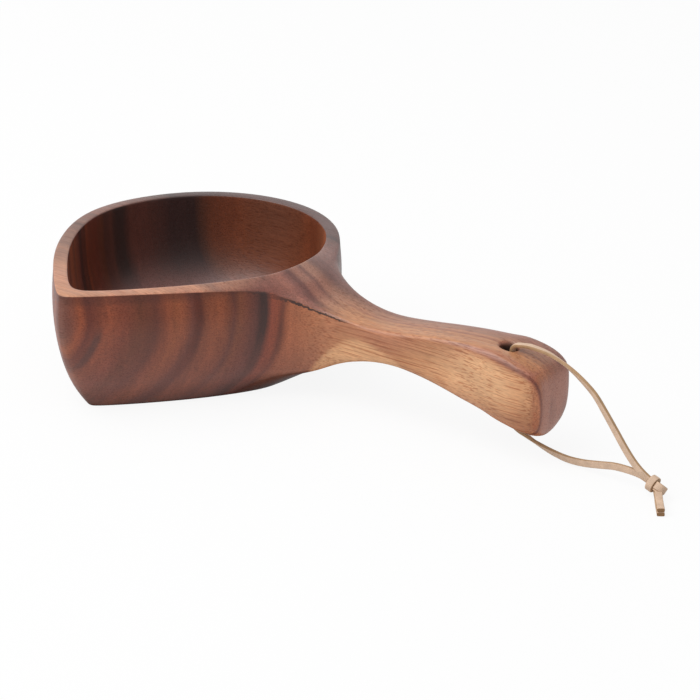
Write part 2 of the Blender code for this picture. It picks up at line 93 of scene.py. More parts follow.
# %% [markdown]
# ## One helper for nodes
#
# Every material and every node tree below is built with one small function. It adds a node,
# sets its properties, and fills its sockets: a socket that is given a node is linked to that
# node's first output, a socket that is given an output is linked to it, and any other value is
# written into it.

# %% Node helper and colours
def node(tree, kind, sockets=None, **settings):
    made = tree.nodes.new(kind)
    for name, value in settings.items():
        setattr(made, name, value)
    for name, value in (sockets or {}).items():
        if isinstance(value, bpy.types.Node):
            value = value.outputs[0]
        if isinstance(value, bpy.types.NodeSocket):
            tree.links.new(value, made.inputs[name])
        else:
            made.inputs[name].default_value = value
    return made


def linear(code):
    """An sRGB hex colour as the linear values that Blender's sockets take."""
    parts = [int(code[i:i + 2], 16) / 255 for i in (1, 3, 5)]
    return (*[p / 12.92 if p <= 0.04045 else ((p + 0.055) / 1.055) ** 2.4 for p in parts], 1.0)


def new_material(name):
    material = bpy.data.materials.new(name)
    material.use_nodes = True
    material.node_tree.nodes.clear()
    return material, material.node_tree


print("mid grey is", [round(v, 3) for v in linear("#808080")[:3]])

# %% [markdown]
# ## Acacia, carved and oiled
#
# Acacia heartwood has dark, wavy growth bands that run through the whole block. The ladle's
# fibres lie along the grip, so a band keeps nearly the same place along X, and its place
# across the block decides its colour. The finish is therefore a solid texture: it reads the
# object's own coordinates, measures how far a point lies across the growth bands, and looks
# the colour up in a ramp. The same band then runs over the rim, through the wall and down the
# inside, as it does in real wood, and no seam can show.

# %% Growth bands
# Each row is a place across the block, in millimetres, and the colour there. The bowl has bands in
# front, from the spout's tip, and behind. The tops of the rim and the shoulder are paler, a painted sheen
# over their bands, and so is the grip
FRONT_BANDS = (
    (-92.0, "#663e35"), (-88.0, "#70463a"), (-86.4, "#7c4b39"), (-84.6, "#975535"), (-82.4, "#6b3728"),
    (-80.4, "#713d2b"), (-76.5, "#905236"), (-71.5, "#7e4631"), (-67.0, "#6e402a"), (-62.0, "#663a2b"),
    (-59.4, "#854c32"), (-56.0, "#965a38"), (-53.0, "#895136"), (-50.8, "#6e4032"), (-49.0, "#5f2f1f"),
    (-47.8, "#5c2e1f"), (-46.0, "#814c32"), (-42.0, "#945838"), (-38.6, "#864f34"), (-36.2, "#653b2e"),
    (-34.0, "#824f34"), (-31.4, "#754431"), (-28.6, "#653b31"), (-26.8, "#3d221c"), (-25.0, "#3e231c"),
    (-23.2, "#924e35"), (-21.4, "#8c4b2f"), (-20.0, "#663725"), (-18.6, "#794127"), (-16.0, "#613322"),
    (-12.0, "#663524"), (-8.0, "#603223"),
)
BACK_BANDS = (
    (-8.0, "#5e3527"), (-4.0, "#59331f"), (-2.2, "#462921"), (0.4, "#4a2c23"), (2.2, "#4f3026"),
    (4.0, "#38231d"), (5.8, "#2a1b18"), (9.4, "#291a17"), (11.4, "#42261f"), (14.0, "#573227"),
    (19.0, "#553026"), (24.0, "#482920"), (28.0, "#3d231d"), (31.6, "#2f1a17"), (39.8, "#2b1815"),
    (42.4, "#50301f"), (45.0, "#653820"), (51.0, "#703b22"), (57.0, "#6a4130"), (64.0, "#573931"),
)
# The rim's top: its bands painted paler and pinker as a sheen from above, less so at the back, where
# painted shade darkens them
RIM_BANDS_WITH_SHEEN = (
    (-92.0, "#9e6e52"), (-86.0, "#b27d5d"), (-70.0, "#ae7a60"), (-60.0, "#b68265"), (-52.0, "#a47159"),
    (-46.0, "#b17d62"), (-41.0, "#866050"), (-38.0, "#9a6c57"), (-34.0, "#956853"), (-26.0, "#8e6250"),
    (-20.0, "#705045"), (-17.0, "#8f6452"), (-11.0, "#8d6254"), (-8.0, "#765449"), (-5.0, "#94685a"),
    (4.0, "#906659"), (20.0, "#7f5a51"), (31.0, "#63463f"), (33.5, "#463432"), (37.0, "#573d39"),
    (64.0, "#4f3734"),
)
# The shoulder's top: its bands painted paler and pinker as a sheen from above
SHOULDER_BANDS_WITH_SHEEN = (
    (-26.0, "#7a5046"), (-19.0, "#84584b"), (-15.0, "#9a6a5a"), (-12.0, "#81564c"), (-10.0, "#633f37"),
    (-8.5, "#6c463f"), (-7.0, "#8d6555"), (-4.0, "#956c5c"), (-2.0, "#704e45"), (0.0, "#9c7461"),
    (3.0, "#896453"), (6.0, "#6f5048"), (10.0, "#745650"), (15.0, "#86665e"), (26.0, "#80625c"),
)
GRIP_BANDS = (
    (-20.0, "#9a6344"), (-14.0, "#a66c4b"), (-11.5, "#ad7253"), (-9.5, "#b07952"), (-6.5, "#af7850"),
    (-4.0, "#b37d56"), (-2.4, "#9e6c4b"), (-1.0, "#ad7955"), (0.8, "#905e45"), (2.2, "#a37154"),
    (4.0, "#966951"), (6.0, "#936954"), (9.0, "#895e4e"), (16.0, "#855d4f"),
)
print(len(FRONT_BANDS), "colours in front,", len(BACK_BANDS), "behind,", len(RIM_BANDS_WITH_SHEEN), "on the rim,",
      len(SHOULDER_BANDS_WITH_SHEEN), "on the shoulder,", len(GRIP_BANDS), "in the grip")

# %% [markdown]
# Real bands aren't flat sheets. Low on the wall they bow towards the spout, as growth rings do in
# a block that was cut beside the heart of the trunk. A slow noise lets them sway by about half a
# millimetre, and in the grip they wave a little more. So a point's place across the bands is its
# Y, plus a parabola in its depth below the rim, plus these two noises.

# %% Places across the bands
RIM_LEVEL = 50 * MM
# The bow grows from nothing behind the bowl's middle to this much, per metre, at the spout
BAND_BEND = 6.2
BAND_BEND_FROM = 20 * MM
BAND_BEND_OVER = 100 * MM
SWAY_SIZE = 30 * MM
SWAY_STRETCH = (0.1, 1.0, 0.8)
SWAY_HEIGHT = 0.64 * MM
GRIP_FROM = 66
GRIP_FULL = 92
GRIP_WAVE = 42 * MM
GRIP_WAVE_HEIGHT = 1.6 * MM
# Most of a noise's values lie between these two
NOISE_LOW = 0.3
NOISE_HIGH = 0.7


def bowed(tree, base, along, middle, strength):
    """A value bent into a parabola: the base plus the strength times (along - middle) squared."""
    offset = node(tree, "ShaderNodeMath", {0: along, 1: middle}, operation="SUBTRACT")
    squared = node(tree, "ShaderNodeMath", {0: offset, 1: offset}, operation="MULTIPLY")
    return node(tree, "ShaderNodeMath", {0: squared, 1: strength, 2: base}, operation="MULTIPLY_ADD")


def growth_place(tree, place, axes):
    """How far a point lies across the growth bands, in metres."""
    bend = node(tree, "ShaderNodeMapRange", {
        "Value": axes["Y"], "From Min": BAND_BEND_FROM, "From Max": BAND_BEND_FROM - BAND_BEND_OVER,
        "To Min": 0.0, "To Max": BAND_BEND})
    rings = bowed(tree, axes["Y"], axes["Z"], RIM_LEVEL, bend)
    stretched = node(tree, "ShaderNodeMapping", {"Vector": place, "Scale": SWAY_STRETCH})
    sway = node(tree, "ShaderNodeTexNoise", {
        "Vector": stretched, "Scale": 1 / SWAY_SIZE, "Detail": 2.0})
    swayed = node(tree, "ShaderNodeMapRange", {
        "Value": sway, "From Min": NOISE_LOW, "From Max": NOISE_HIGH,
        "To Min": -SWAY_HEIGHT, "To Max": SWAY_HEIGHT}, clamp=False)
    waves = node(tree, "ShaderNodeTexNoise", {"Vector": place, "Scale": 1 / GRIP_WAVE, "Detail": 0.0})
    waved = node(tree, "ShaderNodeMapRange", {
        "Value": waves, "From Min": NOISE_LOW, "From Max": NOISE_HIGH,
        "To Min": -GRIP_WAVE_HEIGHT, "To Max": GRIP_WAVE_HEIGHT})
    in_grip = node(tree, "ShaderNodeMapRange", {
        "Value": axes["X"], "From Min": GRIP_FROM * MM, "From Max": GRIP_FULL * MM})
    across = node(tree, "ShaderNodeMath", {0: rings, 1: swayed}, operation="ADD")
    return node(tree, "ShaderNodeMath", {0: waved, 1: in_grip, 2: across}, operation="MULTIPLY_ADD")


def band_ramp(tree, across, bands):
    """The colour at a place across the growth bands."""
    first, last = bands[0][0], bands[-1][0]
    share = node(tree, "ShaderNodeMapRange", {
        "Value": across, "From Min": first * MM, "From Max": last * MM})
    ramp = node(tree, "ShaderNodeValToRGB", {"Fac": share})
    stops = ramp.color_ramp.elements
    while len(stops) < len(bands):
        stops.new(0.5)
    for stop, (band, colour) in zip(stops, bands):
        stop.position = (band - first) / (last - first)
        stop.color = linear(colour)
    return ramp


print(f"bands sway by {SWAY_HEIGHT / MM:.1f} mm, and wave by {GRIP_WAVE_HEIGHT / MM:.1f} mm in the grip")

# %% [markdown]
# Over the bands, colour is laid on in layers. A layer has a tone, a weight, and soft limits that
# say where it shows. A limit is a measure, the value at which the layer begins, and the value at
# which it is full, so `("x", 26, 44)` comes in from 26 to 44 mm along the ladle. The limits are
# multiplied, and the layer fades out before any of them. The measures are a point's place, in
# millimetres, the way in which the surface faces, from -1 to 1, and a few noises.

# %% Layers
def soft_mask(tree, measures, limits, weight=1.0):
    """How strongly a layer shows: the product of its soft limits and its weight."""
    share = weight
    for name, begins, full in limits:
        value, unit = measures[name]
        step = node(tree, "ShaderNodeMapRange", {
            "Value": value, "From Min": begins * unit, "From Max": full * unit},
            interpolation_type="SMOOTHSTEP")
        share = node(tree, "ShaderNodeMath", {0: step, 1: share}, operation="MULTIPLY")
    return share


def lay(tree, measures, colour, tone, weight=1.0, limits=(), blend="MIX"):
    """A colour with a tone laid over it. A tone is a hex colour, a set of bands, or a node."""
    under, over = (linear(given) if isinstance(given, str) else given for given in (colour, tone))
    if isinstance(tone, tuple):
        over = band_ramp(tree, measures["across"][0], tone)
    share = soft_mask(tree, measures, limits, weight)
    return node(tree, "ShaderNodeMix", {0: share, 6: under, 7: over},
                data_type="RGBA", blend_type=blend).outputs[2]


NEAR_WALL = (("face_y", -0.2, -0.45), ("y", 5, -10))
FACING_UP = ("face_z", 0.3, 0.62)
RIM = (FACING_UP, ("z", 48, 52))
SHADE_UNDER_RIM = "#4a2a22"
BOWL_LAYERS = (
    # The orange flank between the bowl and the grip
    ("#ad6f4a", 1.0, (("x", 26, 44), ("across", -20.6, -17.4), ("face_y", -0.25, -0.55))),
    # A short dark streak low on the spout
    ("#45302d", 0.7, (("across", -81.0, -79.6), ("across", -77.4, -78.8), ("z", 18, 25), ("z", 42, 34))),
    # Shade under the rim, inside on the right and outside on the near wall
    (SHADE_UNDER_RIM, 0.6, (("face_x", -0.2, -0.6), ("x", 38, 50), ("z", 32, 50))),
    (SHADE_UNDER_RIM, 0.45, (*NEAR_WALL, ("z", 48.5, 52))),
    # A painted sheen on the bowl's floor, and a painted reflection of the white floor on the foot of the
    # near wall
    ("#b08a84", 0.36, (("face_z", 0.2, 0.7), ("z", 32, 14))),
    ("#84594f", 0.48, (*NEAR_WALL, ("z", 38, 10))),
    # A dark band on the left inside, the calmer back wall, and painted shade on the underside
    ("#33201c", 0.75, (("face_x", 0.1, 0.35), ("x", 12, -12), ("across", -27.2, -24.2),
                       ("across", -18.0, -21.0))),
    ("#6d4131", 0.5, (("face_y", 0.1, 0.45), ("y", 0, 10), ("x", 84, 66))),
    ("#3d2620", 0.6, (("face_z", -0.42, -0.68),)),
    # The paler bands of the grip, the bands of the rim's and shoulder's tops with a painted sheen, and
    # painted shade that greys the rim's left side
    (RIM_BANDS_WITH_SHEEN, 1.0, RIM),
    (SHOULDER_BANDS_WITH_SHEEN, 1.0, (FACING_UP, ("x", 47, 57))),
    (GRIP_BANDS, 1.0, (("x", GRIP_FROM, GRIP_FULL),)),
    # Painted shade greys the left side of the rim's top
    ("#d3d2d1", 1.0, (*RIM, ("x", -16, -36)), "MULTIPLY"),
    # A paler, pinker band on the rounded near edge of the grip's top, a painted sheen
    ("#a67869", 0.6, (("x", 122, 148), ("y", -5, -8), ("face_z", 0.2, 0.4), ("face_z", 0.93, 0.75),
                      ("face_x", 0.8, 0.5))),
)
print(len(BOWL_LAYERS), "layers over the bands")

# %% [markdown]
# Where the shoulder's top meets its near side runs a dark, ragged line, with a rough, hatched strip
# above it. A fine noise moves the line up and down and makes the hatching, and the line is deepest
# in its roughest part.

# %% Ragged line
RAGGED_SIZE = 1.3 * MM
RAGGED_REACH = 0.55
RAGGED_LINE = "#2b1813"
RAGGED_HATCH_PALE = "#a58279"
RAGGED_SIDE = ("y", -7, -11)
RAGGED_END = ("x", 92, 84)
ROUGH_PART = (RAGGED_SIDE, ("x", 58, 66), RAGGED_END)
ROUGH_STRIP = (*ROUGH_PART, ("face_z", 0.4, 0.5), ("face_z", 0.86, 0.66))
RAGGED_LIMITS = (("ragged_height", 0.375, 0.495), ("ragged_height", 0.775, 0.655), RAGGED_SIDE,
               ("face_z", 0.06, 0.14), ("x", 44, 56), RAGGED_END)
ROUGH_WEIGHT = 0.3
RAGGED_DEPTH = 0.45
RAGGED_DEEPER = 0.5


def lay_ragged_line(tree, measures, colour):
    hatching = (*ROUGH_STRIP, ("ragged", 0.42, 0.6))
    colour = lay(tree, measures, colour, RAGGED_HATCH_PALE, ROUGH_WEIGHT, ROUGH_STRIP)
    colour = lay(tree, measures, colour, RAGGED_LINE, ROUGH_WEIGHT, hatching)
    deeper = soft_mask(tree, measures, ROUGH_PART, RAGGED_DEEPER)
    depth = node(tree, "ShaderNodeMath", {0: deeper, 1: RAGGED_DEPTH}, operation="ADD")
    return lay(tree, measures, colour, RAGGED_LINE, depth, RAGGED_LIMITS)


print("torn line from", RAGGED_LIMITS[-2][1], "to", RAGGED_END[1], "mm along")

# %% [markdown]
# The pale patches on the grip are sapwood, the young outer wood of the trunk. One shows as a
# rounded flame under the neck, where the carver cut into it: it lies below a dome, which falls
# off faster towards the bowl. The other covers the near side of the grip's end, outside a curved
# line across the block, and a thin dark line runs beside it.

# %% Sapwood
# The dome's top, along and up, and how steeply it falls towards the bowl and the grip, per metre
FLAME_TOP = (96 * MM, 33 * MM)
FLAME_FALL = (30.0, 17.0)
FLAME_TURN = 4 * MM
FLAME_WOBBLE = 2.4 * MM
# The foremost point of the sapwood's line, and its curve, per metre, which grows along the grip
SAPWOOD_Y = -9.5 * MM
SAPWOOD_Z = 23 * MM
SAPWOOD_CURVE = (4.0, 15.6)
SAPWOOD_CURVE_X = (148 * MM, 178 * MM)
SAPWOOD_WOBBLE = 0.8 * MM
WOBBLE_SIZE = 9 * MM
SAPWOOD = "#d3a277"
SAPWOOD_LOW = "#b1754d"
SAPWOOD_END = "#eee2db"
SAPWOOD_SIDE = (("sapwood_depth", 0.6, -1.6), ("x", 112, 153))
SAPWOOD_LAYERS = (
    # The flame, and the dark line beside the grip's sapwood
    ("#cb996f", 1.0, (("flame_height", 35.4, 31.8), ("y", 0, -6))),
    ("#7c4834", 1.0, (("sapwood_edge", -0.9, 0.3), ("sapwood_edge", 1.7, 0.5), ("x", 152, 172))),
)


def sapwood_measures(tree, place, axes):
    """Heights over the flame's dome, and distances inside the line of the grip's sapwood."""
    wobble = node(tree, "ShaderNodeTexNoise", {"Vector": place, "Scale": 1 / WOBBLE_SIZE, "Detail": 2.0})
    fall = node(tree, "ShaderNodeMapRange", {
        "Value": axes["X"], "From Min": FLAME_TOP[0] - FLAME_TURN, "From Max": FLAME_TOP[0] + FLAME_TURN,
        "To Min": FLAME_FALL[0], "To Max": FLAME_FALL[1]})
    dome = bowed(tree, axes["Z"], axes["X"], FLAME_TOP[0], fall)
    flame = node(tree, "ShaderNodeMath", {0: wobble, 1: FLAME_WOBBLE, 2: dome}, operation="MULTIPLY_ADD")
    curve = node(tree, "ShaderNodeMapRange", {
        "Value": axes["X"], "From Min": SAPWOOD_CURVE_X[0], "From Max": SAPWOOD_CURVE_X[1],
        "To Min": SAPWOOD_CURVE[0], "To Max": SAPWOOD_CURVE[1]})
    inside = node(tree, "ShaderNodeMath", {0: axes["Y"], 1: SAPWOOD_Y}, operation="SUBTRACT")
    edge = bowed(tree, inside, axes["Z"], SAPWOOD_Z, curve)
    depth = node(tree, "ShaderNodeMath", {0: wobble, 1: SAPWOOD_WOBBLE, 2: edge}, operation="MULTIPLY_ADD")
    return {"flame_height": flame, "sapwood_edge": edge, "sapwood_depth": depth}


def lay_sapwood(tree, measures, colour):
    pale = lay(tree, measures, SAPWOOD_LOW, SAPWOOD, 1.0, (("z", 14, 30),))
    pale = lay(tree, measures, pale, SAPWOOD_END, 1.0, (("x", 165, 178),), "MULTIPLY")
    for layer in ((pale, 1.0, SAPWOOD_SIDE), *SAPWOOD_LAYERS):
        colour = lay(tree, measures, colour, *layer)
    return colour


print("flame's top", [round(v / MM) for v in FLAME_TOP], "mm along and up")

# %% [markdown]
# Over the broad bands lie the fibres. Long, thin noise, stretched along the grip, gives soft
# streaks a few tenths of a millimetre wide. Acacia also has open pores, which show as fine
# dark dashes along the fibre and as dots on the end grain. Both are drawn a little coarser
# than life, because the render's pixels are nearly half a millimetre wide. The oil darkens
# end grain, so the colour deepens where the surface faces along X.

# %% Fibres, pores and end grain
# Sizes of a grain along X, Y and Z, with how much each noise lightens and darkens the wood
STREAK_SIZE, STREAK_GAIN = (140 * MM, 2.0 * MM, 14 * MM), 0.12
FIBRE_SIZE, FIBRE_GAIN = (30 * MM, 1.6 * MM, 0.6 * MM), 0.11
FLECK_SIZE, FLECK_GAIN = (2.6 * MM, 0.6 * MM, 0.45 * MM), 0.12
PORE_SIZE = (32 * MM, 0.42 * MM, 0.42 * MM)
PORE = "#cba488"
PORES = (("pore", 0.54, 0.63),)
PORES_OPEN = (0.55, 0.72)
PORES_OPEN_X = (60 * MM, 100 * MM)
END_SIZE = (30 * MM, 8.0 * MM, 22 * MM)
END_FACE = "#b18673"
END_SHADE = "#8d6759"
END_LIMITS = (("face_x", 0.7, 0.95), ("x", 150, 160), ("z", 39, 33), ("y", -10.5, -7.5))
END_WEIGHT = 0.9
END_GRAIN = "#f3dddb"


def grain_noise(tree, place, size, detail):
    """Noise whose grains have this size along X, Y and Z."""
    unit = node(tree, "ShaderNodeMapping", {"Vector": place, "Scale": [1 / length for length in size]})
    return node(tree, "ShaderNodeTexNoise", {"Vector": unit, "Scale": 1.0, "Detail": detail})


def lay_fibres(tree, measures, colour, place, fibre):
    """The wood with its streaks, fibres, flecks, end grain and pores."""
    streak = grain_noise(tree, place, STREAK_SIZE, 3.0)
    fleck = grain_noise(tree, place, FLECK_SIZE, 2.0)
    for noise, gain in ((streak, STREAK_GAIN), (fibre, FIBRE_GAIN), (fleck, FLECK_GAIN)):
        shade = node(tree, "ShaderNodeMapRange", {
            "Value": noise, "From Min": NOISE_LOW, "From Max": NOISE_HIGH,
            "To Min": 1 - gain, "To Max": 1 + gain})
        colour = lay(tree, measures, colour, shade, blend="MULTIPLY")
    end_tone = lay(tree, measures, END_FACE, END_SHADE, 1.0, (("end", 0.42, 0.8),))
    colour = lay(tree, measures, colour, end_tone, END_WEIGHT, END_LIMITS)
    colour = lay(tree, measures, colour, END_GRAIN, 1.0, (("along_fibre", 0.2, 0.7),), "MULTIPLY")
    open_pores = node(tree, "ShaderNodeMapRange", {
        "Value": measures["x"][0], "From Min": PORES_OPEN_X[0], "From Max": PORES_OPEN_X[1],
        "To Min": PORES_OPEN[0], "To Max": PORES_OPEN[1]})
    return lay(tree, measures, colour, PORE, open_pores, PORES, "MULTIPLY")


print("pores", [round(v / MM, 2) for v in PORE_SIZE], "mm")

# %% [markdown]
# The finish is oil that was rubbed in, with no lacquer over it: a satin gloss, a little rougher
# along some fibres than others. The pores stay open, so they are sunk with a fine bump. The
# scraped underside took less oil, and so did the near wall just below the rim.

# %% Acacia material
HOLE_X = 161.7 * MM
BORE_RADIUS = 3.9 * MM
# The hole's bore is painted near-black, as painted shade inside the hole
BORE_PAINTED_SHADE = "#2c1a14"
BORE_LIMITS = (("bore", 1.1, 0.8),)
WOOD_IOR = 1.5
OIL_ROUGHNESS = (0.36, 0.46)
OIL_GLOSS = 0.5
SCRAPED_GLOSS = 0.02
SCRAPED_FACING = (-0.62, -0.38)
HIGH_WALL = (*NEAR_WALL, ("face_z", 0.4, 0.15), ("x", 62, 46), ("z", 33, 47))
HIGH_WALL_DULLER = -0.4
PORE_BUMP = 0.25
PORE_DEPTH = 0.1 * MM


def wood_measures(tree, place, normal):
    """Every measure that a layer's limits can name, with its unit."""
    axes = node(tree, "ShaderNodeSeparateXYZ", {"Vector": place}).outputs
    facing = node(tree, "ShaderNodeSeparateXYZ", {"Vector": normal}).outputs
    lengths = {"x": axes["X"], "y": axes["Y"], "z": axes["Z"], "across": growth_place(tree, place, axes),
               **sapwood_measures(tree, place, axes)}
    ragged = node(tree, "ShaderNodeTexNoise", {"Vector": place, "Scale": 1 / RAGGED_SIZE, "Detail": 2.0})
    from_axis = node(tree, "ShaderNodeMapping", {
        "Vector": place, "Location": (-HOLE_X / BORE_RADIUS, 0, 0),
        "Scale": (1 / BORE_RADIUS, 1 / BORE_RADIUS, 0)})
    shares = {
        "face_x": facing["X"], "face_y": facing["Y"], "face_z": facing["Z"], "ragged": ragged,
        "ragged_height": node(tree, "ShaderNodeMath", {0: ragged, 1: RAGGED_REACH, 2: facing["Z"]},
                            operation="MULTIPLY_ADD"),
        "along_fibre": node(tree, "ShaderNodeMath", {0: facing["X"]}, operation="ABSOLUTE"),
        "bore": node(tree, "ShaderNodeVectorMath", {0: from_axis, 1: from_axis},
                     operation="DOT_PRODUCT").outputs["Value"],
        "end": grain_noise(tree, place, END_SIZE, 2.0), "pore": grain_noise(tree, place, PORE_SIZE, 1.0)}
    return {**{name: (value, MM) for name, value in lengths.items()},
            **{name: (value, 1.0) for name, value in shares.items()}}


def make_acacia():
    # Oiled acacia gives the eye deep, warm bands under a satin gloss, and fine dark pores
    material, tree = new_material("acacia_carved_and_oiled")
    coordinates = node(tree, "ShaderNodeTexCoord").outputs
    place = coordinates["Object"]
    measures = wood_measures(tree, place, coordinates["Normal"])
    across = measures["across"][0]
    behind = node(tree, "ShaderNodeMath", {0: across, 1: BACK_BANDS[0][0] * MM}, operation="GREATER_THAN")
    colour = lay(tree, measures, band_ramp(tree, across, FRONT_BANDS), BACK_BANDS, behind)
    for layer in BOWL_LAYERS:
        colour = lay(tree, measures, colour, *layer)
    colour = lay_ragged_line(tree, measures, colour)
    colour = lay_sapwood(tree, measures, colour)
    fibre = grain_noise(tree, place, FIBRE_SIZE, 3.0)
    colour = lay_fibres(tree, measures, colour, place, fibre)
    # Painted shade darkens the inside of the hole
    colour = lay(tree, measures, colour, BORE_PAINTED_SHADE, 1.0, BORE_LIMITS)

    rough = node(tree, "ShaderNodeMapRange", {
        "Value": fibre, "From Min": NOISE_LOW, "From Max": NOISE_HIGH,
        "To Min": OIL_ROUGHNESS[0], "To Max": OIL_ROUGHNESS[1]})
    gloss = node(tree, "ShaderNodeMapRange", {
        "Value": measures["face_z"][0], "From Min": SCRAPED_FACING[0], "From Max": SCRAPED_FACING[1],
        "To Min": SCRAPED_GLOSS, "To Max": OIL_GLOSS})
    duller = soft_mask(tree, measures, HIGH_WALL, HIGH_WALL_DULLER)
    oiled = node(tree, "ShaderNodeMath", {0: duller, 1: gloss, 2: gloss}, operation="MULTIPLY_ADD")
    bump = node(tree, "ShaderNodeBump", {
        "Strength": PORE_BUMP, "Distance": PORE_DEPTH, "Height": soft_mask(tree, measures, PORES)},
        invert=True)
    shader = node(tree, "ShaderNodeBsdfPrincipled", {
        "Base Color": colour, "Roughness": rough, "IOR": WOOD_IOR, "Specular IOR Level": oiled,
        "Normal": bump})
    node(tree, "ShaderNodeOutputMaterial", {"Surface": shader})
    return material


acacia = make_acacia()
print(acacia.name, "has", len(acacia.node_tree.nodes), "nodes")

# %% [markdown]
# ## The carved body
#
# The CAD node holds the exact carved form, as loose triangles. A copy of it is merged into one
# skin, its triangles are paired back into quads, and a Subdivision Surface rounds the facets
# off, so that the satin light runs smoothly over the bowl. Edges where the faces meet at a
# clear angle, such as the rim's, get a crease, so the smoothing leaves them crisp.

# %% Carved body
CRISP_ANGLE = math.radians(26)
CRISP = 0.4
MERGE_DISTANCE = 0.01 * MM
QUAD_FLATNESS = math.radians(40)
QUAD_SHAPE = math.radians(60)


def carved_skin(cad_node, name, material):
    bm = bmesh.new()
    bm.from_mesh(cad_node.data)
    bmesh.ops.remove_doubles(bm, verts=bm.verts, dist=MERGE_DISTANCE)
    bmesh.ops.join_triangles(
        bm, faces=bm.faces, angle_face_threshold=QUAD_FLATNESS, angle_shape_threshold=QUAD_SHAPE)
    crisp = bm.edges.layers.float.new("crease_edge")
    for edge in bm.edges:
        if edge.is_manifold and edge.calc_face_angle() > CRISP_ANGLE:
            edge[crisp] = CRISP
    mesh = bpy.data.meshes.new(name)
    bm.to_mesh(mesh)
    bm.free()
    mesh.materials.append(material)
    mesh.shade_smooth()
    piece = bpy.data.objects.new(name, mesh)
    bpy.context.scene.collection.objects.link(piece)
    skin = piece.modifiers.new("smooth_skin", "SUBSURF")
    skin.levels = 1
    skin.render_levels = 1
    return piece


body = carved_skin(frame["nodes"]["ladle_body"], "carved_body", acacia)
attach(body, "ladle")
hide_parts("ladle_body")
print("carved body:", len(body.data.polygons), "faces before smoothing")

# %% [markdown]
# ## The leather thong
#
# The thong is one flat lace, 3 mm wide and 1.5 mm thick, threaded through the hole and tied
# to itself in an overhand knot. Its route repeats the CAD's points. Geometry Nodes sweep it:
# a chain of points that carries the direction across the lace becomes a curve with free
# normals, and a rounded strip follows that curve.

# %% Lace sizes and route
LACE_WIDTH = 3.0 * MM
LACE_THICKNESS = 1.5 * MM
LACE_ROUND = 0.45 * MM
LACE_STEP = 0.8 * MM
LACE_LEAN = math.radians(-3.6)
STRIP_IN_HOLE = 1.85 * MM
TABLE_CLEARANCE = 0.2 * MM
KNOT_REACH = 72.2 * MM
TAIL_REACH = 72.9 * MM
TAIL_SHIFT = 0.6 * MM
KNOT_HEIGHT = 4.6 * MM
KNOT_PITCH = math.radians(-27.0)
TAIL_HEADING = math.radians(-55.0)

# Reach from the lace's place in the hole, height, sideways shift, all in millimetres, and the
# turn of the flat lace in degrees, where 90 stands it on edge
UPPER_ROUTE = (
    (0.0, 29.6, 0.0, 0), (0.0, 40.0, 0.0, 0), (0.1, 42.4, 0.0, 0), (0.8, 43.9, 0.0, 0),
    (2.1, 44.8, 0.0, 1), (4.1, 45.2, 0.0, 2), (8.2, 45.9, 0.0, 4), (13.2, 45.8, 0.0, 10),
    (18.2, 45.2, 0.0, 20), (23.2, 43.8, 0.0, 32), (28.2, 41.9, 0.0, 45), (34.2, 38.6, 0.0, 58),
    (40.5, 34.0, 0.0, 70), (45.9, 27.8, 0.0, 78), (51.2, 21.5, -0.2, 84), (55.9, 15.9, -0.4, 88),
    (60.5, 11.2, -0.6, 90), (64.7, 8.2, -0.8, 90), (69.7, 5.3, -0.8, 90),
)
LOWER_ROUTE = (
    (0.0, 29.6, 0.0, 0), (0.0, 20.0, 0.0, 0), (0.0, 13.5, 0.0, 0), (1.2, 10.4, 0.0, -4),
    (4.2, 8.2, 0.0, -12), (8.2, 6.8, 0.0, -24), (13.2, 5.2, 0.0, -40), (20.9, 3.5, 0.0, -62),
    (28.5, 2.6, 0.2, -78), (36.0, 3.1, 0.4, -86), (43.4, 4.5, 0.6, -90), (50.6, 6.0, 0.8, -90),
    (57.8, 6.6, 0.6, -90), (63.2, 6.4, 0.5, -90), (67.2, 5.2, 0.6, -90), (69.7, 4.3, 0.8, -90),
)
# Tails on the table from the knot: along the tail, rise above the table, in millimetres
TAIL_ROUTE = ((4.0, 1.0), (9.0, 0.2), (14.0, 0.0), (19.0, 0.0))

away = Vector((math.cos(LACE_LEAN), math.sin(LACE_LEAN), 0))
sideways = Vector((-math.sin(LACE_LEAN), math.cos(LACE_LEAN), 0))
upward = Vector((0, 0, 1))
hole_foot = Vector((HOLE_X, 0, 0))
tail_way = Vector((math.cos(TAIL_HEADING), math.sin(TAIL_HEADING), 0))
print(len(UPPER_ROUTE), "points over the grip,", len(LOWER_ROUTE), "under it")

# %% [markdown]
# The rows above are only the lace's main points. A smooth curve is drawn through them and cut
# into even steps, so that the swept strip has no kinks. At each step the way across the lace
# turns with the twist, and along the tails it eases over to lie flat on the table.

# %% Strand routes
ROUTE_FINENESS = 24
TAIL_EASE = 4 * MM
UPPER_TAIL_SHARE = 0.97
LOWER_TAIL_SHARE = 0.985


def smooth_route(rows, step):
    """Even steps along a smooth curve through the rows; the first three numbers are the place."""
    rows = [rows[0] * 2 - rows[1], *rows, rows[-1] * 2 - rows[-2]]
    fine = []
    for before, here, after, beyond in zip(rows, rows[1:], rows[2:], rows[3:]):
        for i in range(ROUTE_FINENESS):
            t = i / ROUTE_FINENESS
            fine.append(0.5 * (
                2 * here + (after - before) * t + (2 * before - 5 * here + 4 * after - beyond) * t ** 2
                + (3 * here - before - 3 * after + beyond) * t ** 3))
    fine.append(rows[-2])
    lengths = [0.0]
    for here, after in zip(fine, fine[1:]):
        lengths.append(lengths[-1] + (after.xyz - here.xyz).length)
    count = round(lengths[-1] / step)
    route, j = [], 0
    for i in range(count + 1):
        target = lengths[-1] * i / count
        while j < len(lengths) - 2 and lengths[j + 1] < target:
            j += 1
        share = (target - lengths[j]) / (lengths[j + 1] - lengths[j])
        route.append(fine[j].lerp(fine[j + 1], share))
    return route


